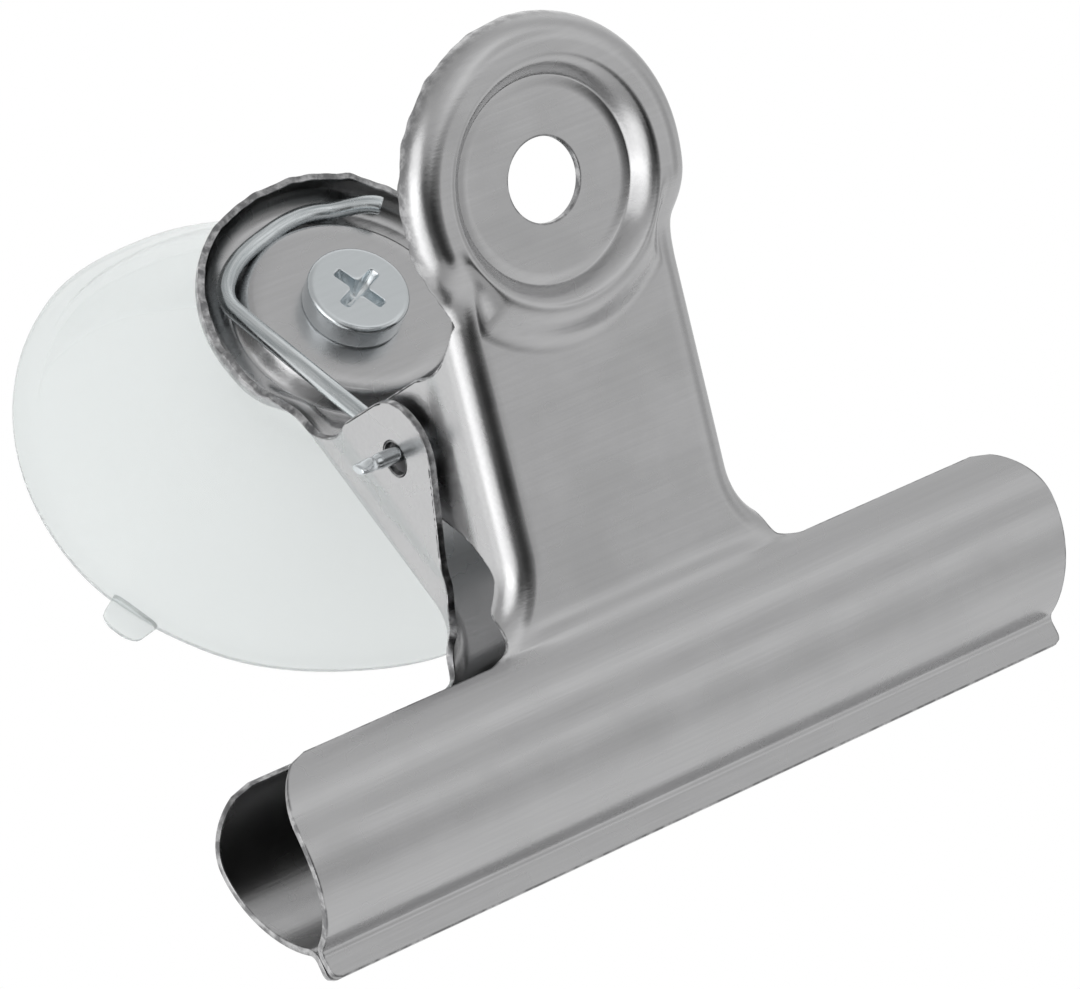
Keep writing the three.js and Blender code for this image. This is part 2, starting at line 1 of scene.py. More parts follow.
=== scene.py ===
"""Suction cup clip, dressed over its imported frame.

Row frame: +X along the jaws, +Y into the wall, +Z up, origin at the centre of the suction face.
Each piece is worked out in millimetres, and its mesh is stored in metres.
"""
import bpy
import bmesh
import numpy as np
from mathutils import Matrix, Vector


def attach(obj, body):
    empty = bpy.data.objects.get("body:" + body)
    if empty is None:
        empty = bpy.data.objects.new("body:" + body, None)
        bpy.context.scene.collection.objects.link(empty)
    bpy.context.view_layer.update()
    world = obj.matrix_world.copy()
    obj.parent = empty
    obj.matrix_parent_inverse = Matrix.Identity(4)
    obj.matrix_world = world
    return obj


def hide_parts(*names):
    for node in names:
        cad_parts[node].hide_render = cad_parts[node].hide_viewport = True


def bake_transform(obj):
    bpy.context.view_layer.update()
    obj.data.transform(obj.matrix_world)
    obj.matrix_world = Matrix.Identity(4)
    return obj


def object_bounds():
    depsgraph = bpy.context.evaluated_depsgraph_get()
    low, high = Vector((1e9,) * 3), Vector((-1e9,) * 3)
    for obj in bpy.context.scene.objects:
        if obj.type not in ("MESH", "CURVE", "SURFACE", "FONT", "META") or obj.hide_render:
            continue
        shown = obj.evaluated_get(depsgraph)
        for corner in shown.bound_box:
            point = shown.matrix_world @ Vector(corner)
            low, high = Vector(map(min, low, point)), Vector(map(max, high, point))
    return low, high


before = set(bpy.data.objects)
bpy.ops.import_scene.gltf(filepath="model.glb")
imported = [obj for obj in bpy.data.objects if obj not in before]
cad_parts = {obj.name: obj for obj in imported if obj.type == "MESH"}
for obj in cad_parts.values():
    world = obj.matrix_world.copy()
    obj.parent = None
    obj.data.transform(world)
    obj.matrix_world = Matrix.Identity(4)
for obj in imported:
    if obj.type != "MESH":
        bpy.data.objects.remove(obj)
cad_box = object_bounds()


# ---------------------------------------------------------------- camera and light
# The camera was fitted to the photograph's tab circles, screw head, pin and jaw ends. The light
# is a white studio for the camera and a soft, uneven room for reflections.

camera_data = bpy.data.cameras.new("camera")
camera_data.sensor_width = 36.0
camera_data.lens = 223.327
camera_data.clip_end = 10.0
camera = bpy.data.objects.new("camera", camera_data)
camera_rows = Matrix(((0.784037, -0.266976, -0.560366),
                      (0.335077, -0.577895, 0.744151),
                      (-0.522503, -0.771208, -0.363634)))
camera.matrix_world = (Matrix.Translation((-0.271398, -0.425404, -0.213015))
                       @ camera_rows.transposed().to_4x4())
bpy.context.scene.collection.objects.link(camera)
bpy.context.scene.camera = camera


def node_kit(tree):
    """Two functions for a node tree. Feed gives sockets of a node a value or a link, and add
    makes a node and feeds it."""
    def feed(node, sockets):
        for socket, value in sockets.items():
            if isinstance(value, bpy.types.NodeSocket):
                tree.links.new(value, node.inputs[socket])
            else:
                node.inputs[socket].default_value = value

    def add(kind, sockets=None, **settings):
        node = tree.nodes.new(kind)
        for key, value in settings.items():
            setattr(node, key, value)
        feed(node, sockets or {})
        return node

    return feed, add


def ramp(add, value, low, high, start=0.0, stop=1.0, **settings):
    """Value carried from the range low to high over to the range start to stop."""
    return add("ShaderNodeMapRange", {"Value": value, "From Min": low, "From Max": high,
                                      "To Min": start, "To Max": stop},
               **settings).outputs["Result"]


def studio_world():
    """White for the camera, through the cup and as plain light on dull surfaces. In reflections a
    soft room: a mid level all round, light panels to the left, above and behind, and dark gaps
    beside the camera."""
    world = bpy.data.worlds.new("studio")
    bpy.context.scene.world = world
    world.use_nodes = True
    world.node_tree.nodes.clear()
    _, add = node_kit(world.node_tree)
    way = add("ShaderNodeTexCoord").outputs["Generated"]

    def math(operation, a, b):
        return add("ShaderNodeMath", {0: a, 1: b}, operation=operation).outputs[0]

    def lobe(right_up_back, low, high, amount):
        """Amount inside the angle whose cosine is high, fading to none where it is low, round a
        direction given to the camera's right, up and back."""
        toward = np.array(right_up_back) @ np.array(camera_rows)
        toward = tuple(toward / np.linalg.norm(toward))
        cosine = add("ShaderNodeVectorMath", {0: way, 1: toward}, operation="DOT_PRODUCT")
        return ramp(add, cosine.outputs["Value"], low, high, 0.0, amount,
                    interpolation_type="SMOOTHSTEP")

    # Direction, two cosines and amount of each lobe. A minus takes light away.
    panels = (((0.68, 0.70, 0.22), 0.40, 0.95, 0.12), ((0.35, 0.50, 0.79), 0.72, 0.98, 0.14),
              ((0.03, 0.72, -0.69), 0.72, 0.98, 0.26), ((-0.55, -0.56, 0.62), 0.80, 0.97, 0.75),
              ((-0.80, -0.58, 0.17), 0.72, 0.98, 0.55), ((-0.68, 0.0, 0.73), 0.86, 0.98, 0.9),
              ((0.78, 0.30, 0.54), 0.72, 0.98, 0.22), ((0.66, -0.60, -0.44), 0.40, 0.95, 0.26),
              ((-0.47, -0.04, -0.88), 0.40, 0.95, 0.42))
    gaps = (((0.66, -0.31, 0.69), 0.88, 0.965, -0.46), ((0.05, -0.36, 0.93), 0.88, 0.98, -0.36),
            ((0.99, 0.02, -0.14), 0.93, 0.995, -0.2), ((0.74, 0.45, 0.50), 0.955, 0.995, -0.34))
    level, darkest = 0.44, 0.02
    for lobe_values in panels + gaps:
        level = math("ADD", level, lobe(*lobe_values))
    level = math("MAXIMUM", level, darkest)
    path = add("ShaderNodeLightPath")
    plain = math("MAXIMUM", path.outputs["Is Camera Ray"], path.outputs["Is Transmission Ray"])
    plain = math("MAXIMUM", plain, path.outputs["Is Diffuse Ray"])
    white = (1.0, 1.0, 1.0, 1.0)
    room = add("ShaderNodeBackground", {"Color": white, "Strength": level})
    sheet = add("ShaderNodeBackground", {"Color": white, "Strength": 1.0})
    both = add("ShaderNodeMixShader", {0: plain, 1: room.outputs[0], 2: sheet.outputs[0]})
    add("ShaderNodeOutputWorld", {"Surface": both.outputs[0]})


studio_world()
bpy.context.scene.view_settings.view_transform = "Standard"


# ---------------------------------------------------------------- floor
# Not a part of the clip: the white paper of the photograph's background, a little below the clip,
# which is held up by its cup and touches nothing.

def shader(name):
    """New material, its nodes, and its feed and add functions."""
    material = bpy.data.materials.new(name)
    material.use_nodes = True
    return material, material.node_tree.nodes, *node_kit(material.node_tree)


def add_mesh(name, patches, material, weld=2e-6, fields=None):
    """One object from patches of points in mm and faces, welded where their points meet. Fields
    are vectors kept with the points, such as the way along a wire."""
    points = np.concatenate([p.reshape(-1, 3) for p, _ in patches])
    faces, start = [], 0
    for p, f in patches:
        faces += [[v + start for v in face] for face in f]
        start += len(p.reshape(-1, 3))
    mesh = bpy.data.meshes.new(name)
    mesh.from_pydata((points * 0.001).tolist(), [], faces)
    for key, values in (fields or {}).items():
        kept = mesh.attributes.new(key, "FLOAT_VECTOR", "POINT")
        kept.data.foreach_set("vector", np.asarray(values, np.float32).ravel())
    work = bmesh.new()
    work.from_mesh(mesh)
    bmesh.ops.remove_doubles(work, verts=work.verts, dist=weld)
    bmesh.ops.dissolve_degenerate(work, edges=work.edges, dist=weld / 4)
    for face in work.faces:
        face.smooth = True
    work.to_mesh(mesh)
    work.free()
    mesh.materials.append(material)
    piece = bpy.data.objects.new(name, mesh)
    bpy.context.scene.collection.objects.link(piece)
    return piece


def floor():
    """Plain white floor, clear from below, where the photograph's camera stands, and in
    reflections, which see the room instead."""
    material, nodes, feed, add = shader("floor")
    white = nodes["Principled BSDF"]
    feed(white, {"Base Color": (0.9, 0.9, 0.9, 1.0), "Roughness": 0.9})
    clear = add("ShaderNodeBsdfTransparent")
    side = add("ShaderNodeNewGeometry")
    path = add("ShaderNodeLightPath")
    unseen = add("ShaderNodeMath", {0: side.outputs["Backfacing"],
                                    1: path.outputs["Is Glossy Ray"]}, operation="MAXIMUM")
    both = add("ShaderNodeMixShader", {0: unseen.outputs[0], 1: white.outputs[0],
                                       2: clear.outputs[0]})
    feed(nodes["Material Output"], {"Surface": both.outputs[0]})
    below, half_side = 25.0, 900.0
    corners = half_side * np.array([[-1, -1], [1, -1], [1, 1], [-1, 1]])
    points = np.insert(corners, 2, cad_box[0][2] * 1000 - below, 1)
    plane = add_mesh("floor", [(points, [[0, 1, 2, 3]])], material)


floor()


# ---------------------------------------------------------------- back plate
# Stamping of 0.6 mm sheet steel: a round thumb tab with a raised ring and a turned rim, a neck
# whose sides turn into the ears, and a trough jaw with a lip. Its tab is screwed to the cup.

SHEET = 0.6                         # thickness
PIN = np.array([-10.94, -18.66])    # the pin's middle, in a plate's depth and height
LEAN = np.radians(21.4)             # half of the closed clip's angle
FOOT = -26.7                        # height at which the neck's sides swing out over the jaw
RIM_EDGE = -0.85                    # depth of the tab's sheared rim
EAR_START = -8.3                    # height at which the rim becomes the ear's edge
FACE = -19.02                       # the back plate's flat face, along Y


def smooth(value, low, high):
    """Smoothstep: 0 below low, 1 above high, 3t^2 - 2t^3 between."""
    t = np.clip((value - low) / (high - low), 0.0, 1.0)
    return t * t * (3.0 - 2.0 * t)


def mix(a, b, t):
    """Straight blend from a at t = 0 to b at t = 1."""
    return a + (b - a) * t


def quads(rows, cols, wrap=False):
    """Faces of a grid of rows by cols points, numbered row by row."""
    i = np.arange(rows - 1)[:, None]
    j = np.arange(cols if wrap else cols - 1)[None, :]
    k = (j + 1) % cols
    a, b = i * cols + j, i * cols + k
    c, d = (i + 1) * cols + k, (i + 1) * cols + j
    return np.stack(np.broadcast_arrays(a, d, c, b), -1).reshape(-1, 4).tolist()


def bezier(controls, count):
    """Points of the Bezier curve of three or four control points, count of them."""
    t = np.linspace(0, 1, count)[:, None]
    points = [np.repeat(np.array(c, float)[None], count, 0) for c in controls]
    while len(points) > 1:
        points = [a + (b - a) * t for a, b in zip(points, points[1:])]
    return points[0]


def swing(across, up):
    """Point given from the pin, across and up from the closed clip's mid-plane, in plate Y Z."""
    c, s = np.cos(LEAN), np.sin(LEAN)
    return PIN + np.array([across * c - up * s, across * s + up * c])


def ear_outline(count, heel, knuckle, depth):
    """Free edge of an ear in plate (depth, height): a curve down from the tab's rim, a line to
    the lobe, the lobe's arc round the pin, a line to the heel and a curve to the neck's foot."""
    radius, heel, shoulder, top = 4.2, np.array(heel), (-2.8, -12.4), np.array([-7.8, -12.9])

    def touch(point, side):
        away = point - PIN
        return (np.arctan2(away[1], away[0])
                + side * np.arccos(radius / np.hypot(*away))) % (2 * np.pi)

    low, high = touch(heel, -1), touch(top, 1)
    turn = np.linspace(high, low, 60)
    arc = PIN + radius * np.stack([np.cos(turn), np.sin(turn)], 1)
    path = np.concatenate([
        bezier([(RIM_EDGE, EAR_START), shoulder, top], 30), arc, heel[None],
        bezier([heel, knuckle, (-depth, FOOT)], 12)])
    step = np.r_[0, np.cumsum(np.hypot(*np.diff(path, axis=0).T))]
    dense = np.linspace(0, step[-1], count)
    return np.stack([np.interp(dense, step, path[:, k]) for k in (0, 1)], 1)


def plate_skin(hole, splay, wave, heel, knuckle, deep, fade):
    """Outer face of a plate as welded grids, in its own frame: X across, Y out of the flat neck,
    Z up from the tab's middle.

    Tab: sections round the middle, each a run of radii with the ring's level, then an arc and a
    straight flange. Neck: rows down from the tab, its sides the same arc and flange, which below
    the tab reaches out to the ear's outline. Pin hole: rings between its circle and the rows
    round it. Foot: the bend line swings out in a quarter turn and the flange fades out. Jaw: rows
    along the trough's arc, the knee's arc and the lip.

    Hole is the tab hole's radius, splay how far the ears step outward, heel and knuckle points of
    the ear's outline, deep the flange's extra depth at the foot and fade the turn it goes over.
    """
    # Tab: radii of the rim, the plateau and the ring's crest, and the ring's height
    rim, plateau, crest, high = 12.725, 7.85, 9.6, 1.71
    # Neck: half its width, the radius at which it starts, its foot's fillet, and the bend's radius
    half, flat, fillet, bend = 11.0, 13.0, 7.0, 2.2
    line, quarter = half - bend, bend * np.pi / 2
    # Flange: least and usual run over bend and flange, last step, and where the ears step outward
    least, steady, hem, joggle_from, joggle_to = 0.8, 3.1, 0.3, 3.4, 6.8
    outline = ear_outline(600, heel, knuckle, least + steady + deep - quarter + bend)
    n_bend, n_flange, n_web = 10, 36, 28

    # Jaw: profile's radii, the trough's middle seen from the pin, half the length, and its ends
    shoulder_r, trough_r, knee_r, mid_gap = 4.0, 8.94, 0.72, 0.05
    trough_in, trough_low = 2.04, 23.6
    half_jaw, jaw_corner, end_taper, lip_long, lip_corner = 37.095, 4.3, 0.9, 1.7, 0.7
    trough = swing(-trough_in, -trough_low)
    shoulder = np.array([shoulder_r, trough[1] + np.sqrt((trough_r + shoulder_r) ** 2
                                                        - (shoulder_r - trough[0]) ** 2)])
    knee_across = mid_gap + SHEET + knee_r
    knee = swing(knee_across, -trough_low - np.sqrt((trough_r + knee_r) ** 2
                                                    - (knee_across + trough_in) ** 2))

    def angle(vector):
        return np.arctan2(vector[1], vector[0])

    t_from, t_to = angle(shoulder - trough), angle(knee - trough)
    flare, corner_turn = np.radians([5.3, 59.4])
    k_from, k_to = angle(trough - knee) % (2 * np.pi), np.pi + flare + LEAN
    knee_turn = np.linspace(k_from, k_to, 14)[1:]
    lip_way = np.array([np.sin(flare + LEAN), -np.cos(flare + LEAN)])
    bow = knee + knee_r * np.stack([np.cos(knee_turn), np.sin(knee_turn)], 1)
    lip = bow[-1] + lip_way * np.linspace(0, lip_long, 8)[1:, None]
    jaw_mid = trough[1] + trough_r * np.sin(t_from)
    jaw_top = trough[1] + trough_r * np.sin(corner_turn)
    lip_edge = lip[-1, 1]

    def on_trough(height):
        return trough[0] + np.sqrt(np.maximum(0, trough_r ** 2 - (height - trough[1]) ** 2))

    def level(height):
        drop = np.clip(shoulder[1] - height, 0, shoulder_r)
        arc = shoulder_r - np.sqrt(shoulder_r ** 2 - drop ** 2)
        return np.where(height < jaw_mid, on_trough(height), arc)

    def foot_level(across, height):
        """Face without its fold: the shoulder's under the neck, the trough's alone beside it."""
        beside = smooth(np.abs(across), line, line + fillet)
        return mix(level(height), np.maximum(0, on_trough(height)), beside)

    def ring(radius):
        """Ring's level: leaves the plateau with a tight corner and rounds over to the crest."""
        corner, softer = 0.06, 0.15
        t = np.clip((radius - plateau) / (crest - plateau), 0, 1)
        tight = (np.hypot(t, corner) - corner) / (np.hypot(1, corner) - corner)
        return high * mix(1 - (1 - tight) ** 2, smooth(t, 0, 1), softer)

    def edge_level(height, turn):
        """Depth of the free edge: the tab's wavy rim above, the ear's outline below."""
        rippled = RIM_EDGE + wave(turn)
        ear = np.interp(-height, -outline[:, 1], outline[:, 0])
        return np.where(height > EAR_START, rippled, ear)

    def spaced(length, rest, share):
        """Distances along a bend and what follows it. Share 0 spaces them by bend and flange,
        share 1 evenly, and the last step is always the hem."""
        i = np.arange(1, n_bend + n_flange + 1)[None]
        length, rest, share = length[:, None], rest[:, None], share[:, None]
        tight = np.where(i <= n_bend, length * i / n_bend,
                         length + rest * (i - n_bend) / n_flange)
        along = mix(tight, (length + rest) * i / (n_bend + n_flange), share)
        along[:, :-1] *= (along[:, -1:] - hem) / along[:, -2:-1]
        return along

    def side(start, way, edge, share):
        """Bend and flange from each start point along way, down to the edge level."""
        start, way = np.asarray(start), np.asarray(way)
        drop = np.maximum(start[:, 1] - edge, hem)
        length = bend * np.arccos(np.clip(1 - drop / bend, 0, 1))
        along = spaced(length, np.maximum(0, drop - bend), np.asarray(share))
        bent = np.minimum(along, length[:, None]) / bend
        past = np.maximum(0, along - length[:, None])
        points = start[:, None, :] + way[:, None, :] * (bend * np.sin(bent))[..., None]
        points[..., 1] -= bend * (1 - np.cos(bent)) + past
        return points

    def splayed(points):
        """Ears step out (or in) past the bend, so that one pair nests outside the other."""
        out = points.copy()
        outward = splay * smooth(-out[..., 1], joggle_from, joggle_to)
        out[..., 0] += np.sign(out[..., 0]) * outward
        return out

    def dish(turn, outer, outer_level):
        """Runs of points from the hole to the outer radius, one for each angle."""
        radii = [np.full_like(turn, r) for r in np.linspace(hole, plateau, 6)]
        radii += [np.full_like(turn, r) for r in plateau + (crest - plateau)
                  * np.array([0.05, 0.1, 0.18, 0.28, 0.4, 0.52, 0.64, 0.76, 0.88, 1.0])]
        levels = [ring(r) for r in radii]
        for s in np.linspace(0, 1, 9)[1:]:
            radii.append(mix(crest, outer, s))
            levels.append(mix(high, outer_level, smooth(s, 0, 1)))
        r, n = np.stack(radii, 1), np.stack(levels, 1)
        return np.stack([r * np.cos(turn)[:, None], n, r * np.sin(turn)[:, None]], -1)

    # Tab
    low_turn = -np.arccos(line / flat)
    start_r = rim - bend
    right = np.linspace(low_turn, np.pi / 2, 90)
    to_neck = np.where(right < 0, line / np.cos(right), 0)
    soft = np.where(right < 0, 0.5 * smooth(-right, 0, np.radians(12)), 0)
    outer = (start_r + to_neck + np.hypot(start_r - to_neck, soft)) / 2
    outer[0] = flat
    blend = smooth(right, low_turn, np.radians(-12))
    run = dish(right, outer, high * blend)
    way_turn = np.where(right < 0, right * blend, right)
    way = np.stack([np.cos(way_turn), 0 * right, np.sin(way_turn)], 1)
    tip_height = run[:, -1, 2] + bend * np.sin(way_turn)
    flange = side(run[:, -1], way, edge_level(tip_height, right), np.ones_like(right))
    tab = np.concatenate([run, flange], 1)
    left_edge = edge_level(tip_height, np.pi - right)
    left_tab = np.concatenate([run, side(run[:, -1], way, left_edge, np.ones_like(right))], 1)
    left_tab = left_tab * np.array([-1, 1, 1])

    low = np.linspace(-np.pi - low_turn, low_turn, n_web + 1)
    under = dish(low, np.full_like(low, flat), np.zeros_like(low))
    arc_row = under[:, -1]

    # Neck from the tab's foot to the jaw's foot
    def web(heights, bow_share):
        x = mix(-line, line, np.linspace(0, 1, n_web + 1))[None]
        x = mix(x, arc_row[None, :, 0], bow_share[:, None])
        z = heights[:, None] + (arc_row[:, 2] - arc_row[-1, 2])[None] * bow_share[:, None]
        return np.stack([np.broadcast_to(x, z.shape), level(z), z], -1)

    top, kink_from, kink_to = arc_row[-1, 2], -12.0, -13.6
    heights = np.r_[mix(top, kink_from, np.linspace(0, 1, 10)),
                    np.linspace(kink_from, kink_to, 17)[1:], np.linspace(kink_to, FOOT, 80)[1:]]
    evenly = np.r_[np.linspace(1, 0, 10), np.zeros(len(heights) - 10)]
    bowed = 8.5
    face_a = web(heights, 1 - smooth(-heights, -top, -top + bowed))
    side_a = side(face_a[:, -1], np.repeat([[1.0, 0.0, 0.0]], len(heights), 0),
                  edge_level(heights, heights), evenly)

    def both(face, run):
        left = run[:, ::-1] * np.array([-1, 1, 1])
        return np.concatenate([left, face, run], 1)

    # Foot
    turn = np.linspace(0, np.pi / 2, 44)
    mid_x = line + fillet * (1 - np.cos(turn))
    mid_z = FOOT - (FOOT - jaw_top + least) * np.sin(turn)
    across = mix(-1.0, 1.0, np.linspace(0, 1, n_web + 1))[None] * mid_x[:, None]
    down = np.broadcast_to(mid_z[:, None], across.shape)
    face_c = np.stack([across, foot_level(across, down), down], -1)
    run = (least + steady * (1 - smooth(turn, np.radians(40), np.radians(68)))
           + deep * np.maximum(0, 1 - turn / fade) ** 2)
    length = np.minimum(run, quarter)
    along = spaced(length, run - length, smooth(turn, 0, np.radians(24)))
    bent = np.minimum(along, quarter) / bend
    out_x = mid_x[:, None] + bend * np.sin(bent) * np.cos(turn)[:, None]
    out_z = mid_z[:, None] + bend * np.sin(bent) * np.sin(turn)[:, None]
    fold = bend * (1 - np.cos(bent)) + np.maximum(0, along - quarter)
    fold *= (1 - smooth(turn, np.radians(60), np.radians(90)))[:, None]
    side_c = np.stack([out_x, foot_level(out_x, out_z) - fold, out_z], -1)
    side_c[-1, :, 2] = mid_z[-1] + along[-1]
    side_c[-1, :, 1] = on_trough(side_c[-1, :, 2])

    # Pin hole, in a block of the side's rows and columns
    hole_r, play, reach = 1.35, 0.65, 2.0
    centre = np.array([PIN[0] + play, PIN[1]])
    near = np.flatnonzero(np.abs(heights - PIN[1]) < reach)
    r0, r1, c0, c1 = near[0], near[-1], n_bend + 16, n_bend + 27
    block = side_a[r0:r1 + 1, c0:c1 + 1]
    border = np.concatenate([block[0], block[1:, -1], block[-1, -2::-1], block[-2:0:-1, 0]])
    away = border[:, 1:] - centre
    inner = border.copy()
    inner[:, 1:] = centre + away / np.hypot(*away.T)[:, None] * hole_r
    inner[:, 0] = half
    ear = mix(inner[None], border[None], np.linspace(0, 1, 8)[:, None, None] ** 1.2)

    # Jaw
    def wings(height):
        """Points from the foot to the jaw's end: rounded top corner, slight taper to the lip."""
        def rounded(radius, short):
            """How far a quarter circle draws in, at the height short of its start."""
            return radius - np.sqrt(radius ** 2 - np.clip(short, 0, radius) ** 2)

        below = jaw_top - height
        taper = end_taper * smooth(below, jaw_corner, jaw_top - lip_edge)
        ends = (half_jaw - rounded(jaw_corner, jaw_corner - below) - taper
                - rounded(lip_corner, lip_corner - (height - lip_edge)))
        return mix(mid_x[-1], ends[:, None], np.linspace(0, 1, 30)[None])

    turns = mix(np.arcsin((mid_z[-1] - trough[1]) / trough_r), t_to, np.linspace(0, 1, 72) ** 1.1)
    arc = trough + trough_r * np.stack([np.cos(turns), np.sin(turns)], 1)
    profile = np.concatenate([arc, bow, lip])
    outward = wings(profile[:, 1])[:, 1:]
    middle_x = np.repeat(across[-1][None], len(profile), 0)
    cols = np.concatenate([-outward[:, ::-1], middle_x, outward], 1)
    jaw = np.stack([cols, *(np.broadcast_to(profile[:, k, None], cols.shape) for k in (0, 1))], -1)
    beside = np.r_[side_c[-1, ::-1, 2], mid_z[-1]]
    wing_x = wings(beside)
    wing = np.stack([wing_x, *(np.broadcast_to(v[:, None], wing_x.shape)
                               for v in (on_trough(beside), beside))], -1)

    patches = []

    def add(points, flip=False, wrap=False):
        faces = quads(points.shape[0], points.shape[1], wrap=wrap)
        if flip:
            faces = [f[::-1] for f in faces]
        patches.append((splayed(points), faces))

    add(tab)
    add(left_tab, flip=True)
    add(under)
    neck = both(face_a, side_a)
    cells = np.arange((len(heights) - 1) * (neck.shape[1] - 1)).reshape(len(heights) - 1, -1)
    shift = n_bend + n_flange + n_web
    keep = np.ones(cells.shape, bool)
    keep[r0:r1, shift + c0 + 1:shift + c1 + 1] = False
    keep &= keep[:, ::-1]
    neck_faces = [f[::-1] for f, kept in zip(quads(*neck.shape[:2]), keep.ravel()) if kept]
    patches.append((splayed(neck), neck_faces))
    add(both(face_c, side_c), flip=True)
    add(jaw, flip=True)
    add(wing, flip=True)
    add(wing * np.array([-1, 1, 1]))
    add(ear, wrap=True)
    add(ear * np.array([-1, 1, 1]), flip=True, wrap=True)
    return patches


def rim_wave(seed, sag):
    """Unevenness of the sheared rim, in mm: a few sines round the tab, and for a plate that was
    drawn unevenly two bumps where the rim hangs lower and one where it stands higher."""
    def wave(turn):
        bump = lambda middle, wide: np.exp(-((np.degrees(turn) - middle) / wide) ** 2)
        return (0.10 * np.sin(17 * turn + seed) + 0.07 * np.sin(29 * turn + 2 * seed)
                + 0.05 * np.sin(47 * turn + 3 * seed)
                - sag * (0.72 * bump(62, 24) + 0.25 * bump(151, 13) - 0.25 * bump(106, 12)))
    return wave


def face_out(piece, closed=True):
    """Turns all faces the same way round: outward on a closed mesh, and the way of the first
    face on an open skin."""
    work = bmesh.new()
    work.from_mesh(piece.data)
    work.faces.ensure_lookup_table()
    before = work.faces[0].normal.copy()
    bmesh.ops.recalc_face_normals(work, faces=work.faces)
    kept = work.calc_volume(signed=True) if closed else before.dot(work.faces[0].normal)
    if kept < 0:
        bmesh.ops.reverse_faces(work, faces=work.faces)
    work.to_mesh(piece.data)
    work.free()


def sheet_metal(piece, thickness, corner):
    """Turns an open skin into sheet metal, in mm.

    The skin is kept as the outer face. Its copy, moved in along the point normals by the
    thickness, is the inner face. Round the border, rings of points run over a quarter arc of the
    corner radius, down the sheared edge and over a second quarter arc. The field "finish" keeps
    in X the look of a sheared edge, 1 on the edge itself and less on frayed parts of the outer
    face, and in Y how much painted shade darkens the inner face.
    """
    mesh = piece.data
    count = len(mesh.vertices)
    painted_shade_and_fray = np.empty(count * 3, np.float32)
    mesh.attributes["painted_shade_and_fray"].data.foreach_get("vector", painted_shade_and_fray)
    painted_shade_and_fray = painted_shade_and_fray.reshape(-1, 3)
    co, normal = np.empty(count * 3), np.empty(count * 3)
    mesh.vertices.foreach_get("co", co)
    mesh.vertex_normals.foreach_get("vector", normal)
    co, normal = co.reshape(-1, 3) * 1000, normal.reshape(-1, 3)

    # Border edges from a to b: those that no other face runs along the other way
    first, total = (np.empty(len(mesh.polygons), int) for _ in range(2))
    mesh.polygons.foreach_get("loop_start", first)
    mesh.polygons.foreach_get("loop_total", total)
    a = np.empty(len(mesh.loops), int)
    mesh.loops.foreach_get("vertex_index", a)
    step = np.arange(len(a)) + 1
    step[first + total - 1] = first
    b = a[step]
    border = ~np.isin(a * count + b, b * count + a)
    a, b = a[border], b[border]

    # Rings of points round the border, by the way out of the sheet and the point normal
    way = co[b] - co[a]
    way /= np.linalg.norm(way, axis=1)[:, None]
    out = np.zeros_like(co)
    np.add.at(out, a, np.cross(way, normal[a]))
    np.add.at(out, b, np.cross(way, normal[b]))
    rim = np.unique(a)
    edge_out = out[rim] / np.linalg.norm(out[rim], axis=1)[:, None]
    turn = np.radians([0, 25, 50, 70, 90])
    inset = np.r_[3 * corner, corner * (1 - np.sin(turn))]
    down = np.r_[0, corner * (1 - np.cos(turn))]
    inset, down = np.r_[inset, inset[::-1]], np.r_[down, thickness - down[::-1]]
    rings = (co[rim][None] - edge_out[None] * inset[:, None, None]
             - normal[rim][None] * down[:, None, None])

    # Both faces and the strips between the rings
    outer, inner = co.copy(), co - normal * thickness
    outer[rim], inner[rim] = rings[0], rings[-1]
    places = np.full((len(inset), count), -1)
    places[0], places[-1] = np.arange(count), np.arange(count) + count
    for k in range(1, len(inset) - 1):
        places[k, rim] = 2 * count + (k - 1) * len(rim) + np.arange(len(rim))
    points = np.concatenate([outer, inner, rings[1:-1].reshape(-1, 3)]) * 0.001
    faces = [tuple(p.vertices) for p in mesh.polygons]
    faces += [tuple(v + count for v in reversed(f)) for f in faces]
    for up, low in zip(places, places[1:]):
        faces += np.stack([up[b], up[a], low[a], low[b]], 1).tolist()
    made = bpy.data.meshes.new(piece.name)
    made.from_pydata(points.tolist(), [], faces)
    made.shade_smooth()

    finish = np.zeros((len(points), 3), np.float32)
    # X: the sheared edge's look on the outer face. Y: painted shade on the inner face.
    finish[:count, 0] = painted_shade_and_fray[:, 1]
    finish[count:2 * count, 1] = painted_shade_and_fray[:, 0]
    finish[2 * count:, 0] = 1.0
    made.attributes.new("finish", "FLOAT_VECTOR", "POINT").data.foreach_set(
        "vector", finish.ravel())
    for material in mesh.materials:
        made.materials.append(material)
    piece.data = made
    bpy.data.meshes.remove(mesh)


def noise(add, where, scale, detail, roughness):
    """Noise value at a place."""
    return add("ShaderNodeTexNoise", {"Vector": where, "Scale": scale, "Detail": detail,
                                      "Roughness": roughness}).outputs["Fac"]


def tones(add, factor, a, b):
    """Colour a where the factor is 0, colour b where it is 1."""
    both = add("ShaderNodeMix", {"Factor": factor, "A": a, "B": b}, data_type="RGBA")
    return [o for o in both.outputs if o.type == "RGBA"][0]


def relief(add, height, strength, distance, under=None):
    """Normal of a bump, laid over another normal if one is given."""
    sockets = {"Height": height, "Strength": strength, "Distance": distance}
    return add("ShaderNodeBump", sockets | ({"Normal": under} if under else {})).outputs[0]


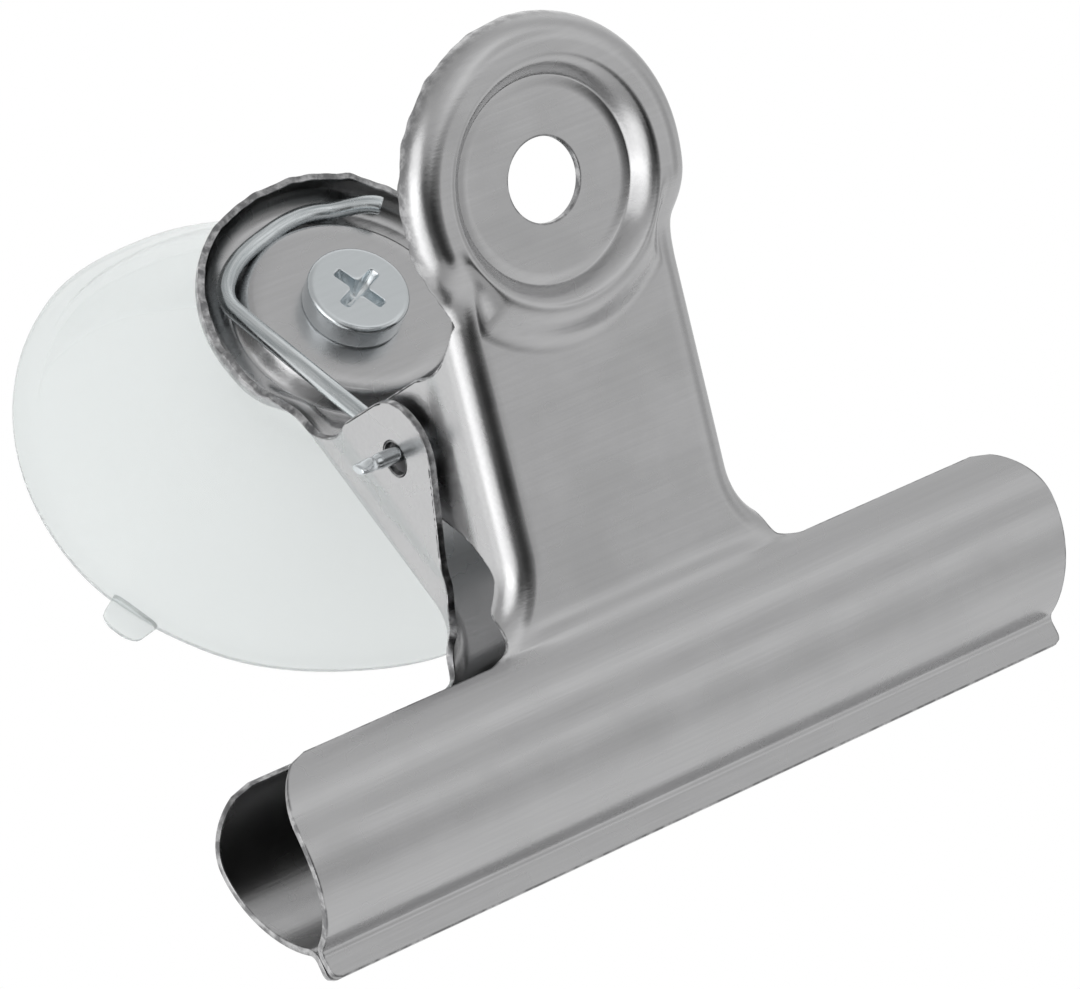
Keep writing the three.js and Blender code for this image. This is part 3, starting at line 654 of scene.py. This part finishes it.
def steel(name, colour, tint, roughness, grain, edged_and_shaded=False):
    """Satin steel: rolling lines along X tint the colour, clouds vary the roughness, and the
    lines and fine pits make the relief. Steel for the plates reads the field "finish" too: dark
    sheared edges with bright burrs, and painted shade that darkens the inner faces."""
    material, nodes, feed, add = shader(name)
    where = add("ShaderNodeTexCoord").outputs["Object"]
    drawn = add("ShaderNodeMapping", {"Vector": where, "Scale": (90.0, 2600.0, 2600.0)})
    lines = noise(add, drawn.outputs[0], 1.0, 4.0, 0.6)
    cloud = noise(add, where, 160.0, 3.0, 0.55)
    pits = noise(add, where, 5200.0, 2.0, 0.5)
    tone = tones(add, lines, *((*(c * (1 + t) for c in colour), 1.0) for t in (-tint, tint)))
    if edged_and_shaded:
        own = add("ShaderNodeAttribute", attribute_name="finish").outputs["Vector"]
        own = add("ShaderNodeSeparateXYZ", {0: own}).outputs
        burrs = ramp(add, noise(add, where, 950.0, 5.0, 0.6), 0.42, 0.62)
        edge = tones(add, burrs, (0.24, 0.24, 0.245, 1.0), (0.60, 0.60, 0.605, 1.0))
        # Painted shade: the inner faces darken towards this grey where the trough and the turned
        # rim shade them.
        tone = tones(add, own["Y"], tone, (0.20, 0.20, 0.20, 1.0))
        tone = tones(add, own["X"], tone, edge)
    pitted = relief(add, pits, grain * 0.5, 0.00001)
    feed(nodes["Principled BSDF"], {
        "Metallic": 1.0, "Base Color": tone,
        "Roughness": ramp(add, cloud, 0.3, 0.7, roughness - 0.04, roughness + 0.05),
        "Normal": relief(add, lines, grain, 0.00002, pitted)})
    return material


sheet_steel = steel("sheet_steel", (0.63, 0.63, 0.635), tint=0.07, roughness=0.26, grain=0.5,
                    edged_and_shaded=True)


def shade_and_fray_amounts(points):
    """Field of the skin. First how much painted shade the inner face gets: under the tab's
    turned rim, and in the trough's upper half. Second how far the outer face has the sheared
    edge's look: where the tab's rim ends."""
    x, level, up = points.T
    away = np.hypot(x, up)
    # Painted shade: the inner face is darkened under the turned rim and in the trough's upper
    # half, where these hollows lie in shade.
    rim = smooth(away, 10.7, 12.0) * smooth(up, -10.0, -7.0)
    trough = smooth(-up, 30.0, 35.0) * (1 - smooth(-up, 38.5, 44.0))
    frayed = smooth(-level, -0.9, 0.6) * smooth(away, 11.5, 12.5) * smooth(up, -8.0, 0.0)
    return np.stack([np.maximum(rim, trough), 0.9 * frayed, 0 * x], 1)


def plate(name, node, body, place, **form):
    """Skin in its place, thickened inward by the sheet, with slightly rounded sheared edges."""
    edge_round = 0.06
    skin = plate_skin(**form)
    # Painted shade for the inner face and the frayed rim's look, carried with the skin's points.
    painted_shade_and_fray = np.concatenate([shade_and_fray_amounts(points.reshape(-1, 3)) for points, _ in skin])
    patches = [(place(points), faces) for points, faces in skin]
    piece = add_mesh(name, patches, sheet_steel, weld=4e-6, fields={"painted_shade_and_fray": painted_shade_and_fray})
    face_out(piece, closed=False)
    sheet_metal(piece, SHEET, edge_round)
    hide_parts(node)
    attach(piece, body)


def back_place(points):
    """Upright, with its plateau on the cup's post."""
    return points + np.array([0.0, FACE, 0.0])


plate("back_sheet", "back_plate", "back_half", back_place, hole=2.1, splay=0.75,
      wave=rim_wave(seed=0.4, sag=1), heel=(-8.35, -25.5), knuckle=(-7.2, -26.2),
      deep=4.0, fade=np.radians(30))


# ---------------------------------------------------------------- front plate
# The same stamping of the same sheet, with a larger hole in its tab. It leans forward, and its
# ears lie inside the back plate's ears, where the pin holds them.

def front_place(points):
    """Turned half round the pin and leaned forward by the clip's whole angle."""
    x, n, u = points[..., 0], points[..., 1] - PIN[0], points[..., 2] - PIN[1]
    c, s = np.cos(2 * LEAN), np.sin(2 * LEAN)
    return np.stack([-x, -n * c - u * s + PIN[0] + FACE, -n * s + u * c + PIN[1]], -1)


plate("front_sheet", "front_plate", "front_half", front_place, hole=3.3, splay=-0.4,
      wave=rim_wave(seed=1.7, sag=0), heel=(-6.4, -25.35), knuckle=(-5.0, -26.1),
      deep=1.6, fade=np.radians(22))


# ---------------------------------------------------------------- torsion spring
# One length of 1.5 mm zinc-plated wire: a hoop that lies in each tab's groove, a leg down to the
# pin and a close coil of eight turns round it. The coil winds up as the jaws open.

def sweep(points, radius, sides):
    """Rings of a round wire along a path, in mm, square to it and carried along without twist.
    At each end three rings shrink over a small rounded corner to the cut face."""
    corner, t = 0.12 * radius, np.radians([90, 60, 30])
    ends = []
    for p, q in ((points[0], points[1]), (points[-1], points[-2])):
        way = (q - p) / np.linalg.norm(q - p)
        ends.append(p + way * (corner * (1 - np.sin(t)))[:, None])
    path = np.concatenate([ends[0], points[1:-1], ends[1][::-1]])
    narrow = radius - corner * (1 - np.cos(t))
    size = np.r_[narrow, np.full(len(points) - 2, radius), narrow[::-1]][:, None]
    way = np.gradient(path, axis=0)
    way /= np.linalg.norm(way, axis=1)[:, None]
    across = np.empty_like(path)
    start = np.array([0.0, 0.0, 1.0]) if abs(way[0, 2]) < 0.9 else np.array([0.0, 1.0, 0.0])
    for i, w in enumerate(way):
        start = start - w * (start @ w)
        start /= np.linalg.norm(start)
        across[i] = start
    up = np.cross(way, across)
    turn = np.linspace(0, 2 * np.pi, sides, endpoint=False)
    return (path[:, None] + across[:, None] * (size * np.cos(turn))[..., None]
            + up[:, None] * (size * np.sin(turn))[..., None])


def end_faces(rows, cols):
    """Faces over the first and the last ring of a wrapped grid."""
    return [list(range(cols)), [rows * cols - 1 - k for k in range(cols)]]


def wire_streaks():
    """Drawn zinc-plated wire: dull streaks along it, kept in a field of the wire's own."""
    material, nodes, feed, add = shader("zinc_wire")
    own = add("ShaderNodeAttribute", attribute_name="wire").outputs["Vector"]
    drawn = add("ShaderNodeMapping", {"Vector": own, "Scale": (0.12, 2.6, 2.6)})
    lines = noise(add, drawn.outputs[0], 1.0, 5.0, 0.62)
    specks = noise(add, own, 2.2, 3.0, 0.6)
    feed(nodes["Principled BSDF"], {
        "Metallic": 1.0,
        "Base Color": tones(add, ramp(add, lines, 0.36, 0.6), (0.52, 0.56, 0.575, 1.0),
                            (0.86, 0.90, 0.915, 1.0)),
        "Roughness": ramp(add, specks, 0.35, 0.65, 0.17, 0.3),
        "Normal": relief(add, lines, 0.16, 0.00003)})
    return material


def spring():
    """Wire path from the back hoop's cut end, over the coil, to the front hoop's cut end, parted
    into the coil and the two legs, which ride on the plates.

    Hoop: an arc round the tab's middle from 43 to 137 degrees, drawn in over its far side, whose
    start springs outward and lifts off the groove. Leg: an elbow curve, then a line that touches
    the coil. Coil: a helix round the pin, evenly spaced from one leg to the other.
    """
    wire, sides, coil_radius, turns = 0.75, 20, 2.2, 8
    hoop_radius, groove, elbow_long = 10.28, 0.26, 2.2
    # Hoop: outward and up at its start, inward and up over its far side
    sprung, lifted, drawn_in, proud = 0.25, 1.4, 0.95, 0.25
    start, settle, end = np.radians([43.0, 67.0, 137.0])
    turn = np.linspace(start, end, 110)
    loose = 1 - smooth(turn, start, settle)
    inward = np.exp(-((np.degrees(turn) - 104) / 27) ** 2)
    radius = hoop_radius + sprung * loose - drawn_in * inward
    level = groove - lifted * loose - proud * inward
    hoop = np.stack([radius * np.cos(turn), level, radius * np.sin(turn)], 1)
    onward = (hoop[-1] - hoop[-2]) / np.linalg.norm(hoop[-1] - hoop[-2])
    elbow = hoop[-1] + elbow_long * onward
    away = elbow[1:] - PIN
    leave = np.arctan2(away[1], away[0]) - np.arccos(coil_radius / np.hypot(*away))
    touch = np.r_[elbow[0], PIN + coil_radius * np.array([np.cos(leave), np.sin(leave)])]
    after = elbow + elbow_long * (touch - elbow) / np.linalg.norm(touch - elbow)
    line = mix(after, touch, np.linspace(0, 1, 16)[1:-1, None])
    leg = np.concatenate([hoop, bezier([hoop[-1], elbow, after], 24)[1:], line])

    leave_front = np.pi - leave + 2 * LEAN
    swept = (leave - leave_front) % (2 * np.pi) + turns * 2 * np.pi
    share = np.linspace(0, 1, 400)
    round_pin = leave - swept * share
    coil = np.stack([mix(elbow[0], -elbow[0], share),
                     PIN[0] + FACE + coil_radius * np.cos(round_pin),
                     PIN[1] + coil_radius * np.sin(round_pin)], 1)
    rings = sweep(np.concatenate([back_place(leg), coil, front_place(leg)[::-1]]), wire, sides)
    along = np.r_[0, np.cumsum(np.linalg.norm(np.diff(rings.mean(1), axis=0), axis=1))]
    ring_turn = np.linspace(0, 2 * np.pi, sides, endpoint=False)
    field = np.stack(np.broadcast_arrays(along[:, None], wire * np.cos(ring_turn),
                                         wire * np.sin(ring_turn)), -1)
    first, last = len(leg) + 2, len(leg) + 2 + len(coil)
    finish = wire_streaks()
    for name, low, high in (("spring_back_leg", 0, first + 1), ("spring_coil", first, last + 1),
                            ("spring_front_leg", last, len(rings))):
        part = rings[low:high]
        first_end, last_end = end_faces(len(part), sides)
        faces = quads(len(part), sides, wrap=True)
        if low == 0:
            faces.append(first_end)
        if high == len(rings):
            faces.append(last_end)
        piece = add_mesh(name, [(part, [f[::-1] for f in faces])], finish,
                         fields={"wire": field[low:high]})
        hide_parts("torsion_spring")
        if name == "spring_coil":
            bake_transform(piece)
        else:
            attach(piece, "back_half" if low == 0 else "front_half")


spring()


# ---------------------------------------------------------------- hinge pin
# A length of 1.3 mm steel wire, 31 mm long and zinc-plated, loose in the holes of the ears. Both
# of its ends are squeezed flat, so that it can't slip out.

zinc = steel("zinc_plate", (0.79, 0.83, 0.85), tint=0.04, roughness=0.2, grain=0.14)


def hinge_pin():
    """Rings along X: round wire that narrows to a waist, then widens and thins over its squeezed
    end, with a rounded tip."""
    radius, half, sides, tilt = 0.65, 15.55, 40, np.radians(-35)
    # Squeezed end: how long, how much wider and thinner than the wire, and its rounded tip
    squeezed, wider, thinner, tip_long = 1.7, 0.22, 0.38, 0.25
    waist_at, waist_wide, waist_deep = 13.95, 0.32, 0.14
    tip_from = half - tip_long
    end = np.r_[np.linspace(0, 13.0, 14), np.linspace(13.2, tip_from, 24),
                tip_from + tip_long * np.sin(np.radians([20, 40, 60, 75, 86]))]
    x = np.r_[-end[:0:-1], end]
    away = np.abs(x)
    squeeze = smooth(away, half - squeezed, half - 0.4)
    waist = 1 - waist_deep * np.exp(-((away - waist_at) / waist_wide) ** 2)
    into_tip = np.maximum(0, away - tip_from) / tip_long
    size = radius * waist * (0.6 + 0.4 * np.sqrt(np.maximum(0, 1 - into_tip ** 2)))
    turn = np.linspace(0, 2 * np.pi, sides, endpoint=False)
    wide = (size * (1 + wider * squeeze))[:, None] * np.sin(turn)
    thin = (size * (1 - thinner * squeeze))[:, None] * np.cos(turn)
    c, s = np.cos(tilt), np.sin(tilt)
    rings = np.stack([np.broadcast_to(x[:, None], wide.shape),
                      PIN[0] + FACE + thin * c - wide * s, PIN[1] + thin * s + wide * c], -1)
    faces = quads(len(x), sides, wrap=True) + end_faces(len(x), sides)
    piece = add_mesh("pin_wire", [(rings, faces)], zinc)
    face_out(piece)
    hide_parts("hinge_pin")
    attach(piece, "back_half")


hinge_pin()


# ---------------------------------------------------------------- mounting screw
# M4 pan head self-tapping screw of zinc-plated steel with a cross recess. It is driven through
# the back plate into the cup's post, and the clip turns on its shank.

def screw():
    """Rings from the recess floor outward: scaled copies of the cross outline, then rays to the
    head's edge curve, its side and underside, and the shank with a helical thread ridge."""
    # Head: levels of its top and underside, its radius, its edge's width and height, its dome
    top, under, wide, edge_wide, edge_high, dome = -22.04, -19.64, 4.2, 0.55, 0.45, 0.03
    # Recess: half an arm's width, an arm's length, radii of its nose and of the inner corners
    arm, long, corner, fillet = 0.475, 2.35, 0.3, 0.32
    # Shank: level of its tip, radius, the thread's height, pitch and half width, rows and sides
    tip, root, thread, pitch, crest, rows, sides = -9.64, 1.55, 0.42, 1.1, 0.26, 240, 72

    turn = np.radians(np.linspace(225, 270, 7))
    inner = (arm + fillet) + fillet * np.stack([np.cos(turn), np.sin(turn)], 1)
    side = np.stack([np.linspace(arm + fillet, long - corner, 16)[1:-1], np.full(14, arm)], 1)
    turn = np.radians(np.linspace(90, 0, 7))
    nose = np.array([long - corner, arm - corner]) + corner * np.stack([np.cos(turn),
                                                                         np.sin(turn)], 1)
    half = np.concatenate([inner, side, nose])
    quarter = np.concatenate([half, (half * [1, -1])[::-1][1:-1]])
    twist = np.radians(22.0) - np.radians([0, 90, 180, 270])
    cross = np.concatenate([np.stack([quarter[:, 0] * np.cos(a) - quarter[:, 1] * np.sin(a),
                                      quarter[:, 0] * np.sin(a) + quarter[:, 1] * np.cos(a)], 1)
                            for a in twist])
    around = np.arctan2(cross[:, 1], cross[:, 0])
    circle = np.stack([np.cos(around), np.sin(around)], 1)
    rings = [np.insert(cross * s, 1, top + d, 1) for s, d in
             ((0.0, 1.5), (0.3, 1.46), (0.62, 1.3), (0.78, 0.9), (0.9, 0.45), (0.965, 0.14),
              (0.985, 0.06), (1.005, 0.015), (1.03, 0.0))]
    lip, edge = np.hypot(*(cross * 1.03).T)[:, None], wide - edge_wide
    levels = [(mix(lip, edge, s), top + dome * s) for s in (0.12, 0.3, 0.5, 0.75, 1.0)]
    levels += [(edge + edge_wide * np.sin(a), top + dome + edge_high * (1 - np.cos(a)))
               for a in np.radians(np.linspace(8, 90, 11))]
    levels += [(wide, under - 0.3), (wide - 0.03, under - 0.08), (wide - 0.1, under),
               (3.4, under), (2.2, under), (1.7, under + 0.05)]
    rings += [np.insert(circle * r, 1, y, 1) for r, y in levels]

    y = np.linspace(under + 0.05, tip, rows)[:, None]
    wound = np.linspace(0, 2 * np.pi, sides, endpoint=False)[None]
    phase = (y / pitch + wound / (2 * np.pi)) % 1.0
    ridge = np.clip(1 - np.abs(phase - 0.5) / crest, 0, 1) ** 1.3
    shrink = mix(1.0, 0.24, smooth(y, tip - 2.2, tip + 0.14) ** 1.2)
    r = (root + thread * ridge * smooth(y, under + 0.3, under + 0.9)) * shrink
    shank = np.stack([r * np.cos(wound), np.broadcast_to(y, r.shape), r * np.sin(wound)], -1)
    faces = quads(rows, sides, wrap=True) + end_faces(rows, sides)[1:]
    for name, points, mesh_faces in (("screw_head", np.stack(rings),
                                      quads(len(rings), len(cross), wrap=True)),
                                     ("screw_shank", shank, faces)):
        piece = add_mesh(name, [(points, mesh_faces)], zinc)
        face_out(piece)
        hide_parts("mounting_screw")
        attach(piece, "cup")


screw()


# ---------------------------------------------------------------- suction cup
# One moulding of soft clear vinyl: a thin bell with a flat rim band, a post for the clip with a
# pilot hole, and a small pull tab at the rim. Soft, so the rim isn't quite round.

def clear_vinyl():
    """Milky clear plastic: mostly see-through, a little white scattered in it, faint flow marks
    and fine scratches in the relief."""
    material, nodes, feed, add = shader("clear_vinyl")
    where = add("ShaderNodeTexCoord").outputs["Object"]
    cloud = noise(add, where, 90.0, 4.0, 0.55)
    drawn = add("ShaderNodeMapping", {"Vector": where, "Rotation": (0.0, 0.7, 0.0),
                                      "Scale": (60.0, 60.0, 2400.0)})
    scratch = ramp(add, noise(add, drawn.outputs[0], 1.0, 3.0, 0.6), 0.66, 0.74)
    milky = nodes["Principled BSDF"]
    feed(milky, {
        "Base Color": (0.87, 0.905, 0.90, 1.0), "Transmission Weight": 0.72, "IOR": 1.2,
        "Roughness": ramp(add, cloud, 0.35, 0.65, 0.1, 0.22),
        "Normal": relief(add, scratch, 0.02, 0.00005, relief(add, cloud, 0.06, 0.0004))})
    clear = add("ShaderNodeBsdfTransparent")
    both = add("ShaderNodeMixShader", {0: 0.15, 1: milky.outputs[0], 2: clear.outputs[0]})
    feed(nodes["Material Output"], {"Surface": both.outputs[0]})
    return material


def cup_rim(turn):
    """Rim radius at an angle from +X towards +Z: fuller to the left, drawn in at the lower
    left."""
    round_rim, fuller, shorter = 22.85, 0.65, 0.9
    degrees = np.degrees(turn % (2 * np.pi))
    left = smooth(degrees, 91, 118) * (1 - smooth(degrees, 186, 216))
    lower_left = np.exp(-((degrees - 248) / 24) ** 2)
    return round_rim + fuller * left - shorter * lower_left


def cup():
    """Profile turned round Y: pilot hole, post, fillet, bell, rim band and hollow, with corners
    rounded by 0.3, each ring stretched towards the rim's own outline. The pull tab is a tongue
    of rings whose sections are rounded rectangles."""
    # Radius and end level of the pilot hole and of the post, radius of the rim
    bore_r, bore_end, post_r, post_end, rim_r, sides = 2.02, -9.24, 6.6, -19.0, 22.9, 256
    bore = [(0.0, bore_end), (1.9, bore_end), (bore_r, bore_end - 0.12), (bore_r, -12.0),
            (bore_r, -16.0)]
    face = [(bore_r, post_end), (3.4, post_end), (5.2, post_end), (6.1, post_end), (6.45, -18.93),
            (6.58, -18.75), (post_r, -18.5)]
    wall = np.stack([np.full(14, post_r), np.linspace(-18.3, -14.2, 14)], 1)
    curve = bezier([(post_r, -14.0), (post_r, -12.2), (8.4, -11.85)], 16)
    bell = bezier([(8.4, -11.85), (13.0, -10.3), (19.5, -5.5), (rim_r, -1.1)], 60)[1:]
    band = [(22.93, -0.85), (22.86, -0.35), (22.78, -0.1), (22.6, 0.0), (22.0, 0.0), (21.3, 0.0),
            (21.06, -0.03), (20.9, -0.12)]
    hollow = bezier([(20.8, -0.3), (17.4, -3.9), (9.4, -8.4), (0.0, -8.4)], 60)
    profile = np.concatenate([bore, face, wall, curve, bell, band, hollow])
    turn = np.linspace(0, 2 * np.pi, sides, endpoint=False)
    share = smooth(profile[:, :1], 11.0, 22.0)
    r = profile[:, :1] * mix(1.0, cup_rim(turn)[None] / rim_r, share)
    points = np.stack([r * np.cos(turn), np.broadcast_to(profile[:, 1:], r.shape),
                       r * np.sin(turn)], -1)

    # Pull tab: its turn from +X, where its rounded tip starts and how far that reaches
    tab_turn, tip_from, tip_long, sides_tab = np.radians(201), 24.6, 0.8, 48
    mid_level, half_thick = -0.55, 0.53
    out = np.array([np.cos(tab_turn), 0.0, np.sin(tab_turn)])
    across = np.array([-out[2], 0.0, out[0]])
    reach = np.r_[np.linspace(rim_r, tip_from, 14),
                  tip_from + tip_long * np.sin(np.radians([20, 40, 58, 74, 84, 89]))]
    width = mix(2.15, 1.75, (reach - rim_r) / 2.5)
    tip = 1 - 0.5 * (np.maximum(0, reach - tip_from) / tip_long) ** 2.4
    around = np.linspace(0, 2 * np.pi, sides_tab, endpoint=False)
    square = lambda v: np.sign(v) * np.abs(v) ** 0.45
    tongue = (out * reach[:, None, None] + across * (width * tip)[:, None, None]
              * square(np.cos(around))[None, :, None])
    thick = half_thick * mix(tip, 1, 0.35)[:, None]
    tongue[..., 1] = mid_level + thick * square(np.sin(around))

    finish = clear_vinyl()
    for name, patch in (
            ("cup_bell", (points, quads(len(profile), sides, wrap=True))),
            ("pull_tab", (tongue, quads(len(reach), sides_tab, wrap=True)
                          + end_faces(len(reach), sides_tab)))):
        piece = add_mesh(name, [patch], finish)
        face_out(piece)
        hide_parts("suction_cup")
        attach(piece, "cup")


cup()
